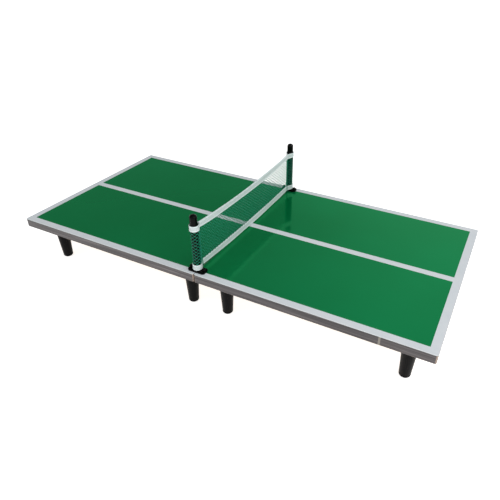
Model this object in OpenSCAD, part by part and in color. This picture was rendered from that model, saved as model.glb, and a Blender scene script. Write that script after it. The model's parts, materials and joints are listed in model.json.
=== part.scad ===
// Tabletop ping pong table: two hinged panels on screw-in legs, with a clip-on net.
// The origin is at floor level under the middle of the table.
// +X runs along the table, +Y across it, +Z up. All sizes are in millimetres.

/* [Table top] */
// Length of the opened table
table_len = 760; // [600:10:1000]
// Width of the table
table_w = 360; // [320:10:500]
// Thickness of a panel with its playing sheet
panel_t = 15; // [14:0.5:20]
// Thickness of the playing sheet
sheet_t = 0.6; // [0.4:0.1:1]
// Thickness of the film on the panel edges
film_t = 0.6; // [0.4:0.1:1]
// Gap between the two panels
seam_gap = 1; // [0.6:0.2:1.6]
// Radius of the upright corners of a panel
corner_r = 3; // [2:0.5:8]

/* [Court lines] */
// Width of every line
line_w = 12.7; // [8:0.1:20]
// Depth of the line paint in the sheet
line_t = 0.2; // [0.1:0.1:0.3]

/* [Legs] */
// Height of a leg with its foot
leg_len = 77; // [60:1:120]
// Diameter of a leg at the top
leg_top_d = 26; // [18:0.5:30]
// Diameter of a leg at the foot
leg_foot_d = 18; // [14:0.5:22]
// Distance from the outer edges to the leg centres
leg_inset = 40; // [30:1:60]
// Distance from the seam to the centres of the middle legs
leg_seam_inset = 35; // [30:1:60]
// Height of the rubber foot
foot_h = 6; // [5.5:0.5:10]
// Rounding of the foot's lower edge
foot_round = 4.5; // [2:0.5:5]
// Diameter of the threaded stud
stud_d = 8; // [6:1:10]
// Length of the stud above the leg
stud_reach = 10.5; // [8:0.5:11]

/* [Hinges] */
// Distance from the middle of the table to a hinge
hinge_y = 105; // [60:5:115]
// Length of a hinge along its pin
hinge_len = 45; // [30:1:60]
// Width of a leaf, from the pin
leaf_w = 21; // [18:1:22]
// Thickness of a leaf
leaf_t = 1.2; // [1:0.1:1.5]
// Radius of the knuckles
knuckle_r = 2.5; // [2.2:0.1:3]
// Radius of the hinge pin
pin_r = 1.25; // [1:0.05:1.5]

/* [Net posts] */
// Distance from the middle of the table to a post
post_y = 167; // [140:1:170]
// Height of a post above the table
post_h = 101; // [80:1:130]
// Diameter of a post
post_d = 12; // [10:0.5:15]
// Length of the foot bar across the seam
bar_len = 31; // [30:1:44]
// Width of the foot bar
bar_w = 15; // [13:0.5:18]
// Thickness of the foot bar
bar_t = 4; // [4:0.5:7]
// Diameter of the locating peg in the seam
peg_d = 8; // [6:0.5:9]
// Depth of the peg's seat
seat_depth = 10; // [6:0.5:11]

/* [Net] */
// Height of the net's top edge at the posts
net_h = 84; // [70:0.5:90]
// Width of the woven tapes
tape_w = 9.5; // [7:0.5:11]
// Drop of the top tape in the middle
top_sag = 6.5; // [0:0.5:12]
// Drop of the bottom tape in the middle
bottom_sag = 2.5; // [0:0.5:3.5]
// Thickness of the net sheet
net_t = 0.8; // [0.6:0.1:1.5]

/* [Hidden] */
LEG_PLACES = [for (y = ["near", "far"]) for (x = ["left_end", "left_seam", "right_seam", "right_end"])
    [str(y, "_", x), x, y]];
LEG_PARTS = ["leg", "leg_stud", "leg_foot"];

$fn = 64;
eps = 0.01;
// How far a cut runs past the surface that it opens
over = 1;
half_len = table_len/2;
half_w = table_w/2;
seam_x = seam_gap/2;
under_z = leg_len;
top_z = leg_len + panel_t;
board_t = panel_t - sheet_t;
leg_end_x = half_len - leg_inset;
leg_y = half_w - leg_inset;

// The brass inserts that take the leg studs
insert_d = stud_d + 4;
insert_h = 11;
insert_hole = insert_h + 0.5;
stud_clearance = 0.05;
stud_in_leg = 20;
stud_chamfer = 1;
foot_plug_d = 8;
foot_plug_h = 5;

// The hinge pin lies below the panels, so that their undersides clear the knuckles
pin_z = under_z - knuckle_r - 0.3;
knuckles = 5;
knuckle_gap = 0.3;
knuckle_len = (hinge_len - (knuckles - 1)*knuckle_gap)/knuckles;
leaf_edge = knuckle_r + 0.5;
pin_clearance = 0.05;
screw_d = 2.6;
screw_head_d = 5;
screw_len = 9;
screw_x = 13;
screw_pitch = hinge_len/3;

// The posts, their foot bars and their pegs
peg_clearance = 0.1;
peg_len = seat_depth - 0.5;
bar_corner = 4;
bar_chamfer = 1.2;
post_round = 4.5;
spigot_d = 8;
spigot_h = 3;

// The net's sleeves and rings go round the posts
sleeve_in_r = post_d/2 + 0.4;
sleeve_out_r = sleeve_in_r + 1;
ring_out_r = sleeve_in_r + 1.8;

// The bosses at the ends of a foot bar stand clear of the net's rings
boss_d = 6.5;
boss_x = max(bar_len/2 - boss_d/2 - 0.25, ring_out_r + boss_d/2 + 0.4);
boss_h = 7.5;
boss_round = 2;
boss_sink = 1;

// Heights and ends of the parts of the net
tape_t = net_t + 0.6;
hem_w = 4;
hem_t = net_t + 0.3;
hem_tuck = 1;
bottom_ring_z = bar_t + 0.4;
sleeve_low = bottom_ring_z + tape_w;
sleeve_high = net_h - tape_w;
band_end = post_y - sleeve_in_r - 0.5;
hem_out = post_y - sleeve_out_r + 0.2;
mesh_end = hem_out - hem_w;
sag_steps = 24;

function near_far(y) = y == "near" ? -1 : 1;
function left_right(x) = x == "left" ? -1 : 1;
function leg_x(x) = x == "left_end" ? -leg_end_x : x == "left_seam" ? -leg_seam_inset
    : x == "right_seam" ? leg_seam_inset : leg_end_x;
// The drop of a sagging tape at distance y from the middle, as a parabola
function drop(y, deepest) = deepest*(1 - pow(y/post_y, 2));
function across(end) = [for (i = [0:sag_steps]) -end + 2*end*i/sag_steps];

// Draws its children on the right side, or mirrored on the left side
module on_side(s) {
    if (s < 0) mirror([1, 0, 0]) children();
    else children();
}

// Outline of the right-hand panel, drawn in by the given distance
module panel_outline(inset = 0) {
    r = corner_r - inset;
    x0 = seam_x + inset;
    x1 = half_len - inset;
    y1 = half_w - inset;
    translate([x0 + r, -y1]) square([x1 - x0 - 2*r, 2*y1]);
    translate([x0, -y1 + r]) square([x1 - x0, 2*y1 - 2*r]);
    for (x = [x0 + r, x1 - r]) for (y = [-y1 + r, y1 - r]) translate([x, y]) circle(r);
}

// The lines of the right-hand court: three borders and the middle line
module line_outline() {
    intersection() {
        panel_outline();
        union() {
            translate([0, -half_w]) square([half_len, line_w]);
            translate([0, half_w - line_w]) square([half_len, line_w]);
            translate([0, -line_w/2]) square([half_len, line_w]);
            translate([half_len - line_w, -half_w]) square([line_w, table_w]);
        }
    }
}

// The seats in the seam that take the pegs of the two posts
module peg_seats() {
    for (y = [-post_y, post_y])
        translate([0, y, top_z - seat_depth]) cylinder(r = peg_d/2 + peg_clearance, h = seat_depth + over);
}

// One of the countersunk hinge screws, head down
module hinge_screw() {
    cylinder(d1 = screw_head_d, d2 = screw_d, h = leaf_t);
    cylinder(d = screw_d, h = screw_len);
}

// The places of the screws in the right-hand leaves
module at_screws(hinges) {
    for (y = hinges) for (i = [-1:1])
        translate([screw_x, y + i*screw_pitch, under_z - leaf_t]) children();
}

module board(s) {
    color("#b08d62") on_side(s) difference() {
        translate([0, 0, under_z]) linear_extrude(board_t) panel_outline(film_t);
        for (x = [leg_seam_inset, leg_end_x]) for (y = [-leg_y, leg_y])
            translate([x, y, under_z - over]) cylinder(d = insert_d, h = insert_hole + over);
        peg_seats();
        at_screws([-hinge_y, hinge_y]) hinge_screw();
    }
}

module playing_sheet(s) {
    color("#0f6b3c") on_side(s) difference() {
        translate([0, 0, top_z - sheet_t]) linear_extrude(sheet_t) panel_outline();
        translate([0, 0, top_z - line_t]) linear_extrude(line_t + over) line_outline();
        peg_seats();
    }
}

module court_lines(s) {
    color("#dfe8ee") on_side(s) difference() {
        translate([0, 0, top_z - line_t]) linear_extrude(line_t) line_outline();
        peg_seats();
    }
}

module edge_film(s) {
    color("#6f6763") on_side(s) difference() {
        translate([0, 0, under_z]) linear_extrude(board_t) difference() {
            panel_outline();
            panel_outline(film_t);
        }
        peg_seats();
    }
}

module leg_inserts(s) {
    color("#c9a75a") on_side(s)
        for (x = [leg_seam_inset, leg_end_x]) for (y = [-leg_y, leg_y])
            translate([x, y, under_z]) difference() {
                cylinder(d = insert_d, h = insert_h);
                translate([0, 0, -over]) cylinder(r = stud_d/2 + stud_clearance, h = insert_h + 2*over);
            }
}

module hinge_screws(s) {
    color("#b9bcc0") on_side(s) at_screws([-hinge_y, hinge_y]) hinge_screw();
}

// One leaf of a hinge. The left leaf has the odd knuckles, the right leaf the even ones.
module hinge_leaf(s, y) {
    mine = s < 0 ? [0:2:knuckles - 1] : [1:2:knuckles - 2];
    color("#b9bcc0") on_side(s) difference() {
        union() {
            translate([leaf_edge, y - hinge_len/2, under_z - leaf_t])
                cube([leaf_w - leaf_edge, hinge_len, leaf_t]);
            for (k = mine) translate([0, y - hinge_len/2 + k*(knuckle_len + knuckle_gap), 0]) {
                translate([0, 0, under_z - leaf_t]) cube([leaf_edge + eps, knuckle_len, leaf_t]);
                translate([0, 0, pin_z]) rotate([-90, 0, 0]) cylinder(r = knuckle_r, h = knuckle_len);
            }
        }
        translate([0, y - hinge_len/2 - over, pin_z]) rotate([-90, 0, 0])
            cylinder(r = pin_r + pin_clearance, h = hinge_len + 2*over);
        at_screws([y]) hinge_screw();
    }
}

module hinge_pin(y) {
    color("#8e9296") translate([0, y - hinge_len/2, pin_z]) rotate([-90, 0, 0])
        cylinder(r = pin_r, h = hinge_len);
}

module at_leg(place) {
    translate([leg_x(place[1]), near_far(place[2])*leg_y, 0]) children();
}

module leg(place) {
    color("#17181a") at_leg(place) difference() {
        translate([0, 0, foot_h]) cylinder(d1 = leg_foot_d, d2 = leg_top_d, h = leg_len - foot_h);
        translate([0, 0, leg_len - stud_in_leg]) cylinder(d = stud_d, h = stud_in_leg + over);
        translate([0, 0, foot_h - over]) cylinder(d = foot_plug_d, h = foot_plug_h + over);
    }
}

module leg_stud(place) {
    color("#b9bcc0") at_leg(place) translate([0, 0, leg_len - stud_in_leg]) {
        cylinder(d = stud_d, h = stud_in_leg + stud_reach - stud_chamfer);
        translate([0, 0, stud_in_leg + stud_reach - stud_chamfer])
            cylinder(d1 = stud_d, d2 = stud_d - 2*stud_chamfer, h = stud_chamfer);
    }
}

// Outline of half a round post or foot, rounded at its free end
module rounded_half(d, h, round) {
    intersection() {
        square([d/2, h]);
        union() {
            square([d/2, h - round]);
            square([d/2 - round, h]);
            translate([d/2 - round, h - round]) circle(round);
        }
    }
}

module leg_foot(place) {
    color("#101010") at_leg(place) {
        translate([0, 0, foot_h]) mirror([0, 0, 1]) rotate_extrude()
            rounded_half(leg_foot_d, foot_h, foot_round);
        translate([0, 0, foot_h - eps]) cylinder(d = foot_plug_d, h = foot_plug_h + eps);
    }
}

module post_upright(side) {
    color("#0c0c0d") translate([0, side*post_y, top_z + bar_t]) {
        rotate_extrude() rounded_half(post_d, post_h - bar_t, post_round);
        translate([0, 0, -spigot_h]) cylinder(d = spigot_d, h = spigot_h + eps);
    }
}

// Outline of the foot bar, drawn in by the given distance
module bar_outline(inset = 0) {
    x1 = bar_len/2 - inset;
    y1 = bar_w/2 - inset;
    r = bar_corner - inset;
    square([2*x1 - 2*r, 2*y1], center = true);
    square([2*x1, 2*y1 - 2*r], center = true);
    for (x = [-x1 + r, x1 - r]) for (y = [-y1 + r, y1 - r]) translate([x, y]) circle(r);
}

module post_base(side) {
    color("#0c0c0d") translate([0, side*post_y, top_z]) difference() {
        union() {
            linear_extrude(bar_t - bar_chamfer) bar_outline();
            translate([0, 0, bar_t - bar_chamfer]) linear_extrude(bar_chamfer) bar_outline(bar_chamfer);
            for (x = [-boss_x, boss_x]) translate([x, 0, boss_sink])
                rotate_extrude() rounded_half(boss_d, boss_h - boss_sink, boss_round);
            translate([0, 0, -peg_len]) cylinder(d = peg_d, h = peg_len + eps);
        }
        translate([0, 0, bar_t - spigot_h]) cylinder(d = spigot_d, h = spigot_h + over);
    }
}

// A band across the net whose two edges lie at the given heights and drops
module net_band(end, low, low_drop, high, high_drop, t) {
    translate([-t/2, 0, top_z]) rotate([90, 0, 90]) linear_extrude(t) polygon(concat(
        [for (y = across(end)) [y, low - drop(y, low_drop)]],
        [for (y = across(end)) [-y, high - drop(y, high_drop)]]));
}

// A tube round both posts between two heights above the table
module post_tube(side, low, high, r) {
    translate([0, side*post_y, top_z + low]) difference() {
        cylinder(r = r, h = high - low);
        translate([0, 0, -over]) cylinder(r = sleeve_in_r, h = high - low + 2*over);
    }
}

// A woven tape: a sagging band that ends in a ring round each post
module net_tape(low, sag) {
    color("#eef3f4") {
        net_band(band_end, low, sag, low + tape_w, sag, tape_t);
        for (side = [-1, 1]) post_tube(side, low, low + tape_w, ring_out_r);
    }
}

module net_sleeve(side) {
    color("#3aa077") post_tube(side, sleeve_low, sleeve_high, sleeve_out_r);
}

module net_hem(side) {
    color("#5fb48f") difference() {
        translate([-hem_t/2, side > 0 ? mesh_end : -hem_out, top_z + sleeve_low - hem_tuck])
            cube([hem_t, hem_w, sleeve_high - sleeve_low + 2*hem_tuck]);
        post_tube(side, sleeve_low - 2*hem_tuck, sleeve_high + 2*hem_tuck, sleeve_out_r);
        net_tape(bottom_ring_z, bottom_sag);
        net_tape(net_h - tape_w, top_sag);
    }
}

module net_mesh() {
    color("#2f9a6e") net_band(mesh_end, sleeve_low, bottom_sag, net_h - tape_w, top_sag, net_t);
}

for (s = ["left", "right"]) {
    board(left_right(s));
    playing_sheet(left_right(s));
    court_lines(left_right(s));
    edge_film(left_right(s));
    leg_inserts(left_right(s));
    hinge_screws(left_right(s));
}
for (y = ["near", "far"]) {
    hinge_leaf(-1, near_far(y)*hinge_y);
    hinge_leaf(1, near_far(y)*hinge_y);
    hinge_pin(near_far(y)*hinge_y);
    post_upright(near_far(y));
    post_base(near_far(y));
    net_sleeve(near_far(y));
    net_hem(near_far(y));
}
net_mesh();
net_tape(net_h - tape_w, top_sag);  // net_top_tape
net_tape(bottom_ring_z, bottom_sag);  // net_bottom_tape
for (p = LEG_PLACES) {
    leg(p);
    leg_stud(p);
    leg_foot(p);
}
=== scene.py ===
"""The looks of a tabletop ping pong table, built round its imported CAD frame.

Everything is in metres in the CAD's own frame: +X along the table, +Y across it, +Z up.
"""
import json
import math
import random

import bpy
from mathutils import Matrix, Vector


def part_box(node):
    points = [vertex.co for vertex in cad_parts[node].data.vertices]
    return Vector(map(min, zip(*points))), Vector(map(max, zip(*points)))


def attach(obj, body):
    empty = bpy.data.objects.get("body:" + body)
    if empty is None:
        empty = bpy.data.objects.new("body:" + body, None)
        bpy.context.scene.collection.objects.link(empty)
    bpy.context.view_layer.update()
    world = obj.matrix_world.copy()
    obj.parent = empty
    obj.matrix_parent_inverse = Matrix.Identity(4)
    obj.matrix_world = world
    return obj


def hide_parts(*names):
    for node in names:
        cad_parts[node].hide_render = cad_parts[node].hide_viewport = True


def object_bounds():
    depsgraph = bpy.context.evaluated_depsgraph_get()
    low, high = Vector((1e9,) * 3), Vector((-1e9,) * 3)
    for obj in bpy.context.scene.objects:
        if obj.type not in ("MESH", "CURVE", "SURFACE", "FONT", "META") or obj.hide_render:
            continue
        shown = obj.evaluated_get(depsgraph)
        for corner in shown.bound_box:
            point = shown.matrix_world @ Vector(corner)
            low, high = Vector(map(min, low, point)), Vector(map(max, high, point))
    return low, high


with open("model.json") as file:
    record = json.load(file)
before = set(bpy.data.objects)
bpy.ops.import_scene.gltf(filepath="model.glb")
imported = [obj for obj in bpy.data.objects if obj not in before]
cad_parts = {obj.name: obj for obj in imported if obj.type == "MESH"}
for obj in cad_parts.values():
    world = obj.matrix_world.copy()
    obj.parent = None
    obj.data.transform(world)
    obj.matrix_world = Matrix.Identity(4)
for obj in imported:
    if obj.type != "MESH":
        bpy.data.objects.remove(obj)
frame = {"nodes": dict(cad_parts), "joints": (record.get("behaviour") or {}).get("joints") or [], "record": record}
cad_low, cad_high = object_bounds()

MM = 0.001
NEAR, FAR = -1, 1
SIDE_NAMES = {NEAR: "near", FAR: "far"}

# ---------------------------------------------------------------- places taken from the frame

top_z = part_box("left_playing_sheet")[1].z
under_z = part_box("left_board")[0].z
half_len = cad_high.x
half_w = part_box("left_playing_sheet")[1].y
seam_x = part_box("right_playing_sheet")[0].x

sleeve_low, sleeve_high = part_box("far_net_sleeve")
post_y = (sleeve_low.y + sleeve_high.y) / 2
post_r = (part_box("far_post_upright")[1].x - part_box("far_post_upright")[0].x) / 2
tape_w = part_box("net_top_tape")[1].z - sleeve_high.z
top_sag = sleeve_high.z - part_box("net_top_tape")[0].z
bottom_ring_z = sleeve_low.z - tape_w
bottom_sag = bottom_ring_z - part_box("net_bottom_tape")[0].z


# ---------------------------------------------------------------- camera

CAMERA_X, CAMERA_Y = 0.3927, -0.6726
CAMERA_ABOVE_TOP = 0.447
CAMERA_TURN = (57.09, -0.62, 27.20)  # degrees
CAMERA_LENS = 34.74                  # mm
CAMERA_SHIFT = -0.05


def make_camera():
    """The main viewpoint: beyond the right end of the near edge, looking down at the table."""
    data = bpy.data.cameras.new("camera")
    data.sensor_width = 36
    data.lens = CAMERA_LENS
    data.shift_x = CAMERA_SHIFT
    camera = bpy.data.objects.new("camera", data)
    camera.location = (CAMERA_X, CAMERA_Y, top_z + CAMERA_ABOVE_TOP)
    camera.rotation_euler = [math.radians(a) for a in CAMERA_TURN]
    bpy.context.collection.objects.link(camera)
    bpy.context.scene.camera = camera


make_camera()


# ---------------------------------------------------------------- material building

class Surface:
    """A Principled material whose textures are laid out in the object's own metres."""

    def __init__(self, name, **sockets):
        self.material = bpy.data.materials.new(name)
        self.material.use_nodes = True
        self.tree = self.material.node_tree
        self.shader = self.tree.nodes["Principled BSDF"]
        self.coordinates = self.tree.nodes.new("ShaderNodeTexCoord")
        self.last_bump = None
        for socket, value in sockets.items():
            self.shader.inputs[socket.replace("_", " ")].default_value = value

    def node(self, kind, inputs=(), **settings):
        """A new node; each input is a value, or another node's output socket to link."""
        made = self.tree.nodes.new("ShaderNode" + kind)
        for name, value in settings.items():
            setattr(made, name, value)
        for key, value in dict(inputs).items():
            if isinstance(value, bpy.types.NodeSocket):
                self.tree.links.new(value, made.inputs[key])
            else:
                made.inputs[key].default_value = value
        return made

    def place(self, scale=(1, 1, 1)):
        """The object's coordinates, stretched by scale."""
        inputs = {"Vector": self.coordinates.outputs["Object"], "Scale": scale}
        return self.node("Mapping", inputs).outputs[0]

    def axis(self, name):
        """One coordinate of the object, in metres."""
        return self.node("SeparateXYZ", {0: self.coordinates.outputs["Object"]}).outputs[name]

    def sum(self, operation, *values, clamp=False):
        """A Math node's result."""
        return self.node("Math", dict(enumerate(values)), operation=operation, use_clamp=clamp).outputs[0]

    def noise(self, scale, detail=4.0, roughness=0.5, stretch=(1, 1, 1)):
        inputs = {"Vector": self.place(stretch), "Scale": scale, "Detail": detail, "Roughness": roughness}
        return self.node("TexNoise", inputs).outputs[0]

    def step(self, value, low, high):
        """0 below low and 1 above high, with a soft passage between them."""
        inputs = {"Value": value, "From Min": low, "From Max": high}
        return self.node("MapRange", inputs, interpolation_type="SMOOTHSTEP").outputs[0]

    def ramp(self, value, *stops):
        """A colour ramp through (position, colour) stops."""
        made = self.node("ValToRGB", {0: value})
        elements = made.color_ramp.elements
        while len(elements) < len(stops):
            elements.new(0.5)
        for element, (position, colour) in zip(elements, stops):
            element.position = position
            element.color = (*colour, 1)
        return made.outputs[0]

    def mix(self, share, first, second):
        """The first colour where share is 0, and the second where it is 1."""
        made = self.node("Mix", data_type="RGBA")
        for index, value in ((0, share), (6, first), (7, second)):
            if isinstance(value, bpy.types.NodeSocket):
                self.tree.links.new(value, made.inputs[index])
            else:
                made.inputs[index].default_value = value if index == 0 else (*value, 1)
        return made.outputs[2]

    def colour(self, socket):
        self.tree.links.new(socket, self.shader.inputs["Base Color"])

    def rough(self, value, low, high):
        """Roughness that goes from low to high with the value."""
        made = self.node("MapRange", {"Value": value, "To Min": low, "To Max": high})
        self.tree.links.new(made.outputs[0], self.shader.inputs["Roughness"])

    def bump(self, height, distance, strength=1.0):
        """Adds relief; distance is its depth in metres."""
        inputs = {"Height": height, "Distance": distance, "Strength": strength}
        if self.last_bump:
            inputs["Normal"] = self.last_bump
        self.last_bump = self.node("Bump", inputs).outputs[0]
        self.tree.links.new(self.last_bump, self.shader.inputs["Normal"])


def upward_share(surface):
    """1 on faces that look up or down, 0 on upright faces."""
    normal = surface.node("SeparateXYZ", {0: surface.coordinates.outputs["Normal"]}).outputs["Z"]
    return surface.step(surface.sum("ABSOLUTE", normal), 0.3, 0.6)


def laminate_gloss(s, low, high):
    """The shared gloss of the playing sheet and its lines: faint smears, fine scratches, slow waves."""
    smear = s.noise(14, 3, 0.6)
    scratch = s.noise(60, 2, 0.5, stretch=(0.6, 9, 1))
    s.rough(s.sum("MULTIPLY", smear, scratch), low, high)
    s.bump(s.noise(16, 1, 0.4), 0.12 * MM)
    s.bump(s.noise(900, 2, 0.5), 0.003 * MM)


def green_laminate():
    """Green laminate, pale on its cut edges; its gloss is tinted green, under a thin clear coat."""
    s = Surface("green_laminate", Metallic=0.6, Specular_IOR_Level=0.0, Specular_Tint=(0.0, 1.0, 0.68, 1),
                Coat_Weight=0.25, Coat_Roughness=0.1)
    cloud = s.noise(5, 3, 0.5)
    fleck = s.noise(2500, 2, 0.5)
    green = s.ramp(cloud, (0.3, (0.0003, 0.228, 0.064)), (0.7, (0.0006, 0.262, 0.078)))
    green = s.mix(s.sum("MULTIPLY", fleck, 0.08), green, (0.003, 0.36, 0.13))
    s.colour(s.mix(upward_share(s), (0.62, 0.63, 0.62), green))
    laminate_gloss(s, 0.10, 0.22)
    return s.material


def line_paint():
    s = Surface("line_paint", IOR=1.5)
    white = s.ramp(s.noise(40, 4, 0.6), (0.3, (0.70, 0.755, 0.80)), (0.7, (0.76, 0.80, 0.835)))
    s.colour(s.mix(s.sum("MULTIPLY", s.noise(3000, 2, 0.5), 0.12), white, (0.60, 0.66, 0.70)))
    laminate_gloss(s, 0.12, 0.30)
    return s.material


JOINT_INSET = 79 * MM  # from the right end to where the film's two ends meet


def edge_film():
    """Printed wood-grain film: streaks along the edge, with a painted highlight in pale patches where it turns the
    corners.
    """
    s = Surface("edge_film", IOR=1.48)
    grain = s.noise(1, 6, 0.62, stretch=(7, 7, 420))
    broad = s.noise(1, 2, 0.5, stretch=(3, 3, 110))
    fine = s.noise(1, 5, 0.7, stretch=(40, 40, 2600))
    tone = s.sum("ADD", s.sum("MULTIPLY", grain, 0.6), s.sum("MULTIPLY", broad, 0.4))
    wood = s.ramp(tone, (0.38, (0.018, 0.015, 0.017)), (0.47, (0.052, 0.045, 0.047)),
                  (0.54, (0.095, 0.083, 0.085)), (0.62, (0.235, 0.207, 0.207)))
    wood = s.mix(s.sum("MULTIPLY", fine, 0.30), wood, (0.050, 0.043, 0.045))
    along = s.sum("ABSOLUTE", s.axis("X"))
    across = s.sum("ABSOLUTE", s.axis("Y"))
    turn, joint_w, joint_soft = 2.6 * MM, 3.4 * MM, 0.4 * MM
    end_turn = s.step(along, half_len - turn, half_len - 0.5 * turn)
    seam_turn = s.step(along, seam_x + turn, seam_x + 0.5 * turn)
    side_turn = s.step(across, half_w - turn, half_w - 0.6 * turn)
    corner = s.sum("MULTIPLY", s.sum("MAXIMUM", end_turn, seam_turn), side_turn)
    # Pale patches at the rounded corners: a painted highlight where the corners catch the light, broken up by
    # noise.
    corner_highlight = s.sum("MULTIPLY", corner, s.step(s.noise(500, 3, 0.6), 0.35, 0.6))
    wood = s.mix(s.sum("MULTIPLY", corner_highlight, 0.75), wood, (0.46, 0.33, 0.25))
    lower_wear = s.step(s.axis("Z"), under_z + 0.9 * MM, under_z)
    lower_wear = s.sum("MULTIPLY", lower_wear, s.step(s.noise(90, 4, 0.6), 0.45, 0.7))
    wood = s.mix(lower_wear, wood, (0.36, 0.27, 0.20))
    joint_x = half_len - JOINT_INSET
    joint = s.sum("MULTIPLY", s.step(s.axis("X"), joint_x, joint_x + joint_soft),
                  s.step(s.axis("X"), joint_x + joint_w, joint_x + joint_w - joint_soft))
    joint = s.sum("MULTIPLY", joint, s.step(s.axis("Y"), 0, -half_w))
    wood = s.mix(s.sum("MULTIPLY", joint, 0.45), wood, (0.40, 0.37, 0.30))
    s.colour(wood)
    s.rough(fine, 0.34, 0.52)
    s.bump(grain, 0.05 * MM)
    s.bump(joint, 0.12 * MM)
    return s.material


def fibreboard():
    s = Surface("fibreboard", IOR=1.45)
    fibre = s.noise(1400, 4, 0.7)
    patch = s.noise(22, 4, 0.55)
    brown = s.ramp(patch, (0.3, (0.330, 0.225, 0.135)), (0.7, (0.430, 0.305, 0.190)))
    brown = s.mix(s.step(fibre, 0.58, 0.72), brown, (0.20, 0.125, 0.070))
    s.colour(s.mix(s.step(fibre, 0.42, 0.30), brown, (0.56, 0.43, 0.29)))
    s.rough(fibre, 0.78, 0.95)
    s.bump(fibre, 0.05 * MM)
    return s.material


def moulded_black(name, low, high, grain_depth, gloss, tint):
    """Black moulded plastic or rubber, with roughness from low to high."""
    s = Surface(name, Specular_IOR_Level=gloss)
    dust = s.noise(120, 5, 0.65)
    s.colour(s.mix(s.step(dust, 0.55, 0.8), tint, tuple(2.2 * c for c in tint)))
    s.rough(s.noise(45, 3, 0.5), low, high)
    s.bump(s.noise(1800, 3, 0.6), grain_depth)
    return s


def leg_plastic():
    s = moulded_black("leg_plastic", 0.30, 0.46, 0.03 * MM, 0.07, (0.0022, 0.0022, 0.0026))
    s.bump(s.noise(1, 2, 0.5, stretch=(160, 160, 12)), 0.08 * MM)
    return s.material


def foot_rubber():
    s = moulded_black("foot_rubber", 0.55, 0.80, 0.06 * MM, 0.07, (0.0030, 0.0030, 0.0030))
    return s.material


def post_plastic():
    s = moulded_black("post_plastic", 0.08, 0.16, 0.006 * MM, 0.08, (0.0012, 0.0012, 0.0014))
    s.bump(s.noise(220, 2, 0.5), 0.02 * MM)
    return s.material


def zinc_steel():
    s = Surface("zinc_steel", Metallic=1.0)
    spangle = s.node("TexVoronoi", {"Vector": s.place(), "Scale": 260.0}).outputs["Distance"]
    brushed = s.noise(1, 4, 0.6, stretch=(260, 2600, 260))
    s.colour(s.ramp(spangle, (0.1, (0.50, 0.515, 0.54)), (0.7, (0.66, 0.665, 0.665))))
    s.rough(brushed, 0.24, 0.46)
    s.bump(brushed, 0.02 * MM)
    return s.material


def turned_brass():
    s = Surface("turned_brass", Metallic=1.0)
    ring = s.noise(900, 3, 0.6)
    s.colour(s.ramp(ring, (0.3, (0.55, 0.36, 0.13)), (0.7, (0.76, 0.56, 0.26))))
    s.rough(ring, 0.28, 0.5)
    s.bump(ring, 0.02 * MM)
    return s.material


def net_thread():
    """Green polyester yarn, with the twist of its filaments."""
    s = Surface("net_thread", Specular_IOR_Level=0.15)
    twist = s.noise(4200, 3, 0.6)
    s.colour(s.ramp(twist, (0.3, (0.002, 0.130, 0.070)), (0.7, (0.018, 0.280, 0.165))))
    s.rough(twist, 0.30, 0.5)
    s.bump(twist, 0.05 * MM)
    return s.material


def woven_tape(name, shade):
    """White twill tape: fine diagonal ribs, and slack threads with a painted highlight; shade scales all its
    colours, so a darker copy is painted shade.
    """
    s = Surface(name, Sheen_Weight=0.2, Sheen_Roughness=0.4, IOR=1.45)
    ribs = s.node("TexWave", {"Vector": s.place((0, 1, 1.4)), "Scale": 430.0, "Distortion": 0.6,
                              "Detail": 2.0, "Detail Scale": 2.0}, bands_direction="DIAGONAL").outputs[1]
    weft = s.noise(1, 3, 0.6, stretch=(900, 350, 2600))
    low, high, thread_glint = [tuple(shade * c for c in colour) for colour in
                       ((0.58, 0.68, 0.68), (0.75, 0.84, 0.845), (0.85, 0.92, 0.92))]
    white = s.ramp(ribs, (0.1, low), (0.8, high))
    # Lighter slack threads scattered by noise: a painted highlight.
    s.colour(s.mix(s.sum("MULTIPLY", weft, 0.3), white, thread_glint))
    s.rough(weft, 0.6, 0.85)
    s.bump(ribs, 0.06 * MM)
    s.bump(weft, 0.04 * MM)
    return s.material


MATERIALS = {
    "mdf": fibreboard(),
    "green_laminate": green_laminate(),
    "white_paint": line_paint(),
    "edge_film": edge_film(),
    "insert_brass": turned_brass(),
    "zinc_steel": zinc_steel(),
    "leg_black": leg_plastic(),
    "foot_rubber": foot_rubber(),
    "post_black": post_plastic(),
    "net_green": net_thread(),
    "tape_white": woven_tape("woven_tape", 0.94),
}
# A darker copy of the tape for its middle strips: painted shade between the raised selvedges.
TAPE_PAINTED_SHADE = woven_tape("woven_tape_painted_shade", 0.74)


def paint_frame():
    """Gives each CAD node the finish of its slot in the record."""
    for subpart in frame["record"]["subparts"]:
        for slot in frame["nodes"][subpart["node"]].material_slots:
            slot.material = MATERIALS[subpart["material_slot"]]


paint_frame()


# ---------------------------------------------------------------- mesh building

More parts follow.
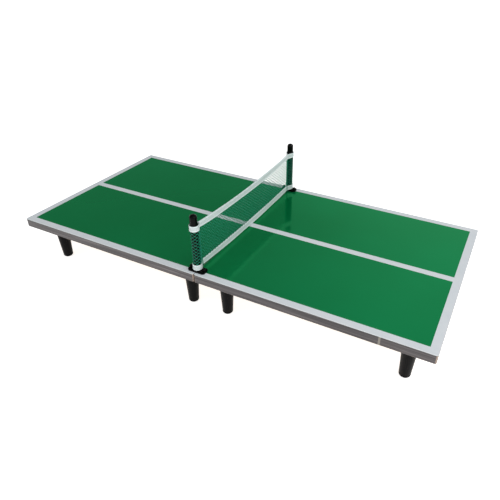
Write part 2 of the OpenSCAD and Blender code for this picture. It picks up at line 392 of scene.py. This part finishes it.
class Shape:
    """Points and faces that are gathered into one mesh."""

    def __init__(self):
        self.points = []
        self.faces = []
        self.slots = []

    def skin(self, rings, closed=False, second=()):
        """Joins rings of equally many points into a skin, capped at its ends unless it is closed.

        The strips of faces that start at the points listed in second take the second material.
        """
        first, size = len(self.points), len(rings[0])
        for ring in rings:
            self.points.extend(ring)
        count = len(rings)
        for i in range(count if closed else count - 1):
            a, b = first + i * size, first + (i + 1) % count * size
            for k in range(size):
                n = (k + 1) % size
                self.faces.append((a + k, a + n, b + n, b + k))
                self.slots.append(1 if k in second else 0)
        if not closed:
            self.faces.append(tuple(first + k for k in reversed(range(size))))
            self.faces.append(tuple(first + (count - 1) * size + k for k in range(size)))
            self.slots.extend((0, 0))

    def tube(self, path, radius, sides=6):
        """A round thread along a path; radius may be a function of the share of the path."""
        rings = []
        side = None
        for i, point in enumerate(path):
            along = (path[min(i + 1, len(path) - 1)] - path[max(i - 1, 0)]).normalized()
            if side is None:
                side = along.orthogonal().normalized()
            side = (side - along * side.dot(along)).normalized()
            up = along.cross(side)
            r = radius(i / (len(path) - 1)) if callable(radius) else radius
            turns = [2 * math.pi * k / sides for k in range(sides)]
            rings.append([point + side * (r * math.cos(t)) + up * (r * math.sin(t)) for t in turns])
        self.skin(rings)

    def piece(self, name, slot, body, replaces=(), smooth=True, second=None):
        """The gathered mesh as an object that rides on a body and stands for CAD nodes."""
        mesh = bpy.data.meshes.new(name)
        mesh.from_pydata([tuple(p) for p in self.points], [], self.faces)
        mesh.polygons.foreach_set("use_smooth", [smooth] * len(mesh.polygons))
        mesh.polygons.foreach_set("material_index", self.slots)
        made = bpy.data.objects.new(name, mesh)
        bpy.context.collection.objects.link(made)
        mesh.materials.append(MATERIALS[slot])
        if second:
            mesh.materials.append(second)
        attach(made, body)
        if replaces:
            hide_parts(*replaces)
        return made


def lerp(a, b, share):
    return a + (b - a) * share


# ---------------------------------------------------------------- the net

TAPE_T = 0.5 * MM             # thickness of a woven tape
TAPE_FACE = ((0.0, 0.3), (0.03, 0.62), (0.14, 0.70), (0.20, 0.40), (0.5, 0.44),
             (0.80, 0.40), (0.86, 0.70), (0.97, 0.62), (1.0, 0.3))  # share of width, of thickness
TAPE_OUTLINE = TAPE_FACE + tuple((a, -b) for a, b in reversed(TAPE_FACE))
TAPE_MIDDLE = (3, 4, 12, 13)  # the strips of that outline between the selvedges, which take the darker copy of the tape as painted shade
LAYER_GAP = 0.55 * MM         # from the net's middle to the middle of a tape's layer
RING_R = post_r + 1.35 * MM   # radius of a tape's loop round its post
SLEEVE_R = post_r + 0.75 * MM
JOIN = 12 * MM                # from a post's centre to the seam that closes its loop
BOW_LOW = 2.7 * MM            # how far the slack bottom edge hangs out to the right
BOW_HIGH = 0.9 * MM           # the same for its upper edge
NET_COLUMNS, NET_ROWS = 43, 11  # whole diamonds along and up the net
SLEEVE_COLUMNS, SLEEVE_ROWS = 6, 11
NET_THREAD_R = 0.40 * MM
SLEEVE_THREAD_R = 0.36 * MM
TUCK = 2.5 * MM               # how far the mesh runs inside the tapes


def slack(y):
    """0 at the posts and 1 in the middle of the net, along a parabola."""
    return max(0.0, 1 - (y / post_y) ** 2)


def bottom_edges(y):
    """The lower and upper edge of the bottom tape at y."""
    ripple = 0.3 * MM * math.sin(y / (17 * MM)) * slack(y)
    x_low = BOW_LOW * slack(y) + ripple
    x_high = BOW_HIGH * slack(y) - ripple
    z_low = bottom_ring_z - bottom_sag * slack(y)
    rise = math.sqrt(tape_w ** 2 - (x_low - x_high) ** 2)
    return Vector((x_low, y, z_low)), Vector((x_high, y, z_low + rise))


def top_edges(y):
    """The lower and upper edge of the top tape at y, with the slow twist of a slack tape."""
    twist = math.sin((y + post_y) / (26 * MM))
    away = min(1.0, 2.2 * slack(y))
    z_low = sleeve_high.z - top_sag * slack(y)
    low = Vector(((1.4 + 0.35 * twist) * MM * away, y, z_low))
    return low, Vector(((0.8 - 0.25 * twist) * MM * away, y, z_low + tape_w))


def loop_plan(radius, side, steps=26):
    """Plan of the loop round a post, from the seam on the +X side round to the -X side."""
    centre_y = side * post_y
    meet = math.acos(radius / JOIN)
    points = []
    for i in range(steps + 1):
        turn = lerp(meet, 2 * math.pi - meet, i / steps)
        points.append(Vector((radius * math.sin(turn), centre_y - side * radius * math.cos(turn))))
    start = Vector((LAYER_GAP, centre_y - side * JOIN))
    end = Vector((-LAYER_GAP, centre_y - side * JOIN))
    legs = [lerp(start, points[0], k / 4) for k in range(4)]
    back = [lerp(points[-1], end, (k + 1) / 4) for k in range(4)]
    return legs + points + back


def belt_plan():
    """Plan of a tape that goes round both posts, as a closed line."""
    far_loop = loop_plan(RING_R, FAR)
    near_loop = loop_plan(RING_R, NEAR)
    span = post_y - JOIN
    count = 150
    back = [Vector((-LAYER_GAP, lerp(span, -span, (i + 1) / count))) for i in range(count - 1)]
    forth = [Vector((LAYER_GAP, lerp(-span, span, (i + 1) / count))) for i in range(count - 1)]
    return far_loop + back + near_loop[::-1] + forth


def tape_section(low, high, normal):
    """Points round a tape's flat cross-section, with thick rounded selvedges."""
    width = high - low
    return [low + width * a + normal * (TAPE_T * b) for a, b in TAPE_OUTLINE]


def belt_stations(edges):
    """Lower point, upper point and outward normal of a tape at each step of its closed line."""
    plan = belt_plan()
    stations = []
    for i, here in enumerate(plan):
        ahead = plan[(i + 1) % len(plan)] - plan[i - 1]
        normal = Vector((ahead.y, -ahead.x, 0)).normalized()
        low, high = edges(max(-post_y, min(post_y, here.y)))
        lower = Vector((low.x + here.x, here.y, low.z))
        upper = Vector((high.x + here.x, here.y, high.z))
        stations.append((lower, upper, normal))
    return stations


def net_tape(name, edges, node):
    """A woven tape round both posts, and the stations that it runs through."""
    shape = Shape()
    stations = belt_stations(edges)
    # The middle strips take the darker copy of the tape: painted shade.
    shape.skin([tape_section(*station) for station in stations], closed=True, second=TAPE_MIDDLE)
    tape = shape.piece(name, "tape_white", "net", [node], second=TAPE_PAINTED_SHADE)
    return tape, stations


def stitches(name, stations):
    """Two rows of lockstitch along a tape, on both of its faces."""
    shape = Shape()
    stitch, pitch, thread = 2.0 * MM, 2.6 * MM, 0.16 * MM
    for share in (0.085, 0.915):
        rail = [lerp(low, high, share) + normal * (TAPE_T * 0.68) for low, high, normal in stations]
        rail.append(rail[0])
        travelled, due = 0.0, 0.0
        for a, b in zip(rail, rail[1:]):
            length = (b - a).length
            while due < travelled + length:
                start = lerp(a, b, (due - travelled) / length)
                ahead = (b - a).normalized() * stitch
                path = [start + ahead * k for k in (0.0, 0.25, 0.5, 0.75, 1.0)]
                shape.tube(path, lambda k: thread * (0.35 + 0.65 * math.sin(math.pi * k)), 5)
                due += pitch
            travelled += length
    return shape.piece(name, "tape_white", "net")


def lattice(shape, columns, rows, place, radius, knot_radius):
    """A diamond mesh of crossing threads, with a knot where they meet."""
    for lean in (1, -1):
        for start in range(-2 * rows, 2 * columns + 2 * rows + 1, 2):
            path = [(start + lean * j, j) for j in range(2 * rows + 1)]
            path = [place(i, j) for i, j in path if 0 <= i <= 2 * columns]
            if len(path) > 1:
                shape.tube(path, radius, 5)
    for i in range(2 * columns + 1):
        for j in range(2 * rows + 1):
            if (i + j) % 2 == 0:
                knot(shape, place(i, j), knot_radius)


def knot(shape, centre, radius):
    """A small tied knot: a six-sided bead, a little taller than it is wide."""
    turns = [math.pi * k / 3 for k in range(6)]
    rings = []
    for level in (-0.9, -0.5, 0.0, 0.5, 0.9):
        r = radius * math.sqrt(1 - level * level)
        z = 1.25 * radius * level
        rings.append([centre + Vector((r * math.cos(t), r * math.sin(t), z)) for t in turns])
    shape.skin(rings)


def net_mesh():
    """The diamond mesh between the two tapes and the two hems."""
    random.seed(11)
    end = post_y - JOIN + 1 * MM
    places = {}

    def place(i, j):
        if (i, j) not in places:
            y = lerp(-end, end, i / (2 * NET_COLUMNS)) + random.uniform(-0.25, 0.25) * MM
            low = bottom_edges(y)[1] - Vector((0, 0, TUCK))
            high = top_edges(y)[0] + Vector((0, 0, TUCK))
            share = j / (2 * NET_ROWS)
            point = lerp(low, high, share)
            belly = 1.2 * MM * math.sin(math.pi * share) * slack(y)
            sway = random.uniform(-0.15, 0.15) * MM
            lift = random.uniform(-0.25, 0.25) * MM
            places[i, j] = Vector((point.x + belly + sway, y, point.z + lift))
        return places[i, j]

    shape = Shape()
    lattice(shape, NET_COLUMNS, NET_ROWS, place, NET_THREAD_R, 1.2 * NET_THREAD_R)
    return shape.piece("net_mesh_threads", "net_green", "net", ["net_mesh"])


def along_path(path, distance):
    """The point at a distance along a line of points."""
    for a, b in zip(path, path[1:]):
        length = (b - a).length
        if distance <= length:
            return lerp(a, b, distance / length)
        distance -= length
    return path[-1]


def net_sleeve(side):
    """The mesh sleeve that slips over a post, between its two tapes."""
    random.seed(23 + side)
    plan = loop_plan(SLEEVE_R, side, 40)
    length = sum((b - a).length for a, b in zip(plan, plan[1:]))
    low = sleeve_low.z - 1 * MM
    high = sleeve_high.z + 1 * MM
    places = {}

    def place(i, j):
        if (i, j) not in places:
            at = along_path(plan, length * i / (2 * SLEEVE_COLUMNS))
            z = lerp(low, high, j / (2 * SLEEVE_ROWS)) + random.uniform(-0.2, 0.2) * MM
            places[i, j] = Vector((at.x, at.y, z))
        return places[i, j]

    shape = Shape()
    lattice(shape, SLEEVE_COLUMNS, SLEEVE_ROWS, place, SLEEVE_THREAD_R, 1.35 * SLEEVE_THREAD_R)
    name = SIDE_NAMES[side]
    sleeve = shape.piece(name + "_sleeve_threads", "net_green", "net", [name + "_net_sleeve"])
    return sleeve


def hem(side):
    """The bound edge beside a sleeve; the far one's end hangs loose below the bottom tape."""
    outline = ((-1, -0.4), (-0.8, -1), (0.8, -1), (1, -0.4), (1, 0.4), (0.8, 1), (-0.8, 1), (-1, 0.4))
    middle = side * (post_y - JOIN - 0.6 * MM)
    half = 1.3 * MM
    thick = 0.5 * MM
    tail = 6.5 * MM if side == FAR else 1 * MM
    low, high = sleeve_low.z - tape_w - tail, sleeve_high.z + 1 * MM
    low = max(low, top_z + 0.6 * MM)
    rings = []
    count = 30
    for i in range(count + 1):
        z = lerp(low, high, i / count)
        sway = 0.25 * MM * math.sin(z / (6 * MM))
        front = (LAYER_GAP + 0.5 * MM) if z < sleeve_low.z + 1 * MM else 0
        x = bottom_edges(middle)[0].x * max(0.0, 1 - (z - bottom_ring_z) / (30 * MM)) * 0.6
        centre = Vector((x + front, middle + sway, z))
        rings.append([centre + Vector((thick * b, half * a, 0)) for a, b in outline])
    shape = Shape()
    shape.skin(rings)
    name = SIDE_NAMES[side]
    return shape.piece(name + "_hem_binding", "net_green", "net", [name + "_net_hem"])


def make_net():
    """The whole net: its mesh, hems, sleeves, tapes and their stitching."""
    mesh = net_mesh()
    hems = [hem(side) for side in (NEAR, FAR)]
    for side in (NEAR, FAR):
        net_sleeve(side)
    for word, edges in (("top", top_edges), ("bottom", bottom_edges)):
        tape, stations = net_tape(word + "_woven_tape", edges, "net_" + word + "_tape")
        rows = stitches(word + "_tape_stitching", stations)


make_net()


# ---------------------------------------------------------------- fasteners

def solids_of(node):
    """The lowest and highest corner of each separate solid in a CAD node."""
    mesh = frame["nodes"][node].data
    group = list(range(len(mesh.vertices)))

    def root(i):
        while group[i] != i:
            group[i] = group[group[i]]
            i = group[i]
        return i

    at = {}
    for v in mesh.vertices:
        key = tuple(round(c, 6) for c in v.co)
        group[root(v.index)] = root(at.setdefault(key, v.index))
    for edge in mesh.edges:
        group[root(edge.vertices[0])] = root(edge.vertices[1])
    boxes = {}
    for v in mesh.vertices:
        low, high = boxes.setdefault(root(v.index), (v.co.copy(), v.co.copy()))
        for k in range(3):
            low[k] = min(low[k], v.co[k])
            high[k] = max(high[k], v.co[k])
    return list(boxes.values())


def cross_screw(shape, low, high):
    """A countersunk screw, head down, with a cross recess in its head."""
    centre = Vector(((low.x + high.x) / 2, (low.y + high.y) / 2, low.z))
    head_r = (high.x - low.x) / 2
    shank_r = 0.52 * head_r
    slot_w, slot_r, depth = 0.17 * head_r, 0.62 * head_r, 0.75 * MM
    turns = 48
    arms = []
    for k in range(turns):
        t = 2 * math.pi * k / turns
        c, s = abs(math.cos(t)), abs(math.sin(t))
        arms.append(min(slot_r, slot_w / max(min(c, s), 1e-6)))

    def ring(radii, z):
        angles = [2 * math.pi * k / turns for k in range(turns)]
        return [centre + Vector((r * math.cos(t), r * math.sin(t), z)) for r, t in zip(radii, angles)]

    length = high.z - low.z
    profile = [([0.25 * r for r in arms], depth),
               ([0.72 * r for r in arms], 0.8 * depth),
               (arms, 0.03 * MM),
               ([min(r + 0.06 * MM, 0.9 * head_r) for r in arms], 0.0),
               ([0.93 * head_r] * turns, 0.0),
               ([head_r] * turns, 0.08 * MM),
               ([shank_r] * turns, 1.2 * MM),
               ([shank_r] * turns, 0.8 * length),
               ([0.15 * shank_r] * turns, length)]
    shape.skin([ring(radii, z) for radii, z in profile])


def hinge_screws(half):
    """The six screws of a panel's two hinge leaves."""
    shape = Shape()
    node = half + "_hinge_screws"
    for low, high in solids_of(node):
        cross_screw(shape, low, high)
    return shape.piece(half + "_cross_screws", "zinc_steel", half + "_half", [node])


def threaded_stud(place):
    """A leg's stud with a helical thread."""
    node = place + "_leg_stud"
    low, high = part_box(node)
    centre = (low + high) / 2
    outer = (high.x - low.x) / 2
    pitch, depth, run_out = 1.25 * MM, 0.62 * MM, 1.6 * MM
    tip_drop = 0.9 * MM
    sides, per_turn = 24, 6
    length = high.z - low.z
    rows = int(length / pitch * per_turn)
    rings = []
    for row in range(rows + 1):
        z = length * row / rows
        taper = min(1.0, (length - z) / run_out) * tip_drop + outer - tip_drop
        ring = []
        for k in range(sides):
            phase = (z / pitch - k / sides) % 1
            flank = abs(2 * phase - 1)
            r = min(outer - depth * min(1.0, max(0.0, 1.25 * flank - 0.125)), taper)
            t = 2 * math.pi * k / sides
            ring.append(Vector((centre.x + r * math.cos(t), centre.y + r * math.sin(t), low.z + z)))
        rings.append(ring)
    shape = Shape()
    shape.skin(rings)
    return shape.piece(place + "_thread", "zinc_steel", place + "_leg", [node], smooth=False)


for half in ("left", "right"):
    hinge_screws(half)
for joint in frame["joints"]:
    if joint["child"].endswith("_leg"):
        threaded_stud(joint["child"][:-len("_leg")])


# ---------------------------------------------------------------- floor and light

FLOOR_GLOW = 0.75
FLOOR_RADIUS = 14.0


def make_floor():
    """A wide pale floor, lit a little from within so that it stays white."""
    s = Surface("floor", Roughness=0.9, Emission_Color=(1, 1, 1, 1), Emission_Strength=FLOOR_GLOW)
    s.colour(s.ramp(s.noise(0.7, 2, 0.5), (0.3, (0.86, 0.86, 0.86)), (0.7, (0.90, 0.90, 0.90))))
    sides = 64
    turns = [2 * math.pi * k / sides for k in range(sides)]
    rim = [(FLOOR_RADIUS * math.cos(t), FLOOR_RADIUS * math.sin(t), 0) for t in turns]
    mesh = bpy.data.meshes.new("floor")
    mesh.from_pydata(rim, [], [tuple(range(sides))])
    floor = bpy.data.objects.new("floor", mesh)
    mesh.materials.append(s.material)
    bpy.context.collection.objects.link(floor)


def add_light(kind, name, place, aim, power, **settings):
    """A light at a place, pointing at aim."""
    data = bpy.data.lights.new(name, kind)
    data.energy = power
    for key, value in settings.items():
        setattr(data, key, value)
    light = bpy.data.objects.new(name, data)
    light.location = place
    light.rotation_euler = (Vector(aim) - Vector(place)).to_track_quat("-Z", "Y").to_euler()
    bpy.context.collection.objects.link(light)


# Height of a direction above the horizon, as its sine, and the sky's brightness there
BRIGHT_SKY = ((0.0, 1.0), (0.40, 0.90), (0.50, 0.72), (0.66, 0.62), (1.0, 0.20))
DIM_SKY = ((0.0, 1.0), (0.12, 0.75), (0.28, 0.30), (0.60, 0.30), (1.0, 0.16))


def make_sky():
    """A studio: a white backdrop round the horizon that is dimmer on the left, and dark overhead."""
    world = bpy.data.worlds.new("studio")
    world.use_nodes = True
    tree = world.node_tree

    def node(kind, **settings):
        made = tree.nodes.new("ShaderNode" + kind)
        for key, value in settings.items():
            setattr(made, key, value)
        return made

    def ramp(value, stops):
        made = node("ValToRGB")
        elements = made.color_ramp.elements
        while len(elements) < len(stops):
            elements.new(0.5)
        for element, (place, level) in zip(elements, stops):
            element.position = place
            element.color = (level, level, level, 1)
        tree.links.new(value, made.inputs[0])
        return made.outputs[0]

    split = node("SeparateXYZ")
    tree.links.new(node("TexCoord").outputs["Generated"], split.inputs[0])
    bright = ramp(split.outputs["Z"], BRIGHT_SKY)
    dim = ramp(split.outputs["Z"], DIM_SKY)
    leftward = node("MapRange", interpolation_type="SMOOTHSTEP")
    leftward.inputs["From Min"].default_value = -0.05
    leftward.inputs["From Max"].default_value = -0.55
    tree.links.new(split.outputs["X"], leftward.inputs["Value"])
    mix = node("Mix", data_type="RGBA")
    tree.links.new(leftward.outputs[0], mix.inputs[0])
    tree.links.new(bright, mix.inputs[6])
    tree.links.new(dim, mix.inputs[7])
    tree.links.new(mix.outputs[2], tree.nodes["Background"].inputs["Color"])
    bpy.context.scene.world = world


make_floor()
make_sky()
# Each light has its kind and name, its place, what it points at, and its strength
add_light("SUN", "ceiling", (0.5, -0.7, 2.0), (0, 0, 0), 0.45, angle=math.radians(30))
add_light("AREA", "key", (1.0, -0.45, 1.0), (0.22, 0, top_z), 4.5, size=0.7)
add_light("AREA", "fill", (-1.1, -1.3, 1.3), (-0.1, 0, top_z), 2.0, size=0.3)
bpy.context.scene.view_settings.view_transform = "Standard"
bpy.context.scene.view_settings.look = "None"
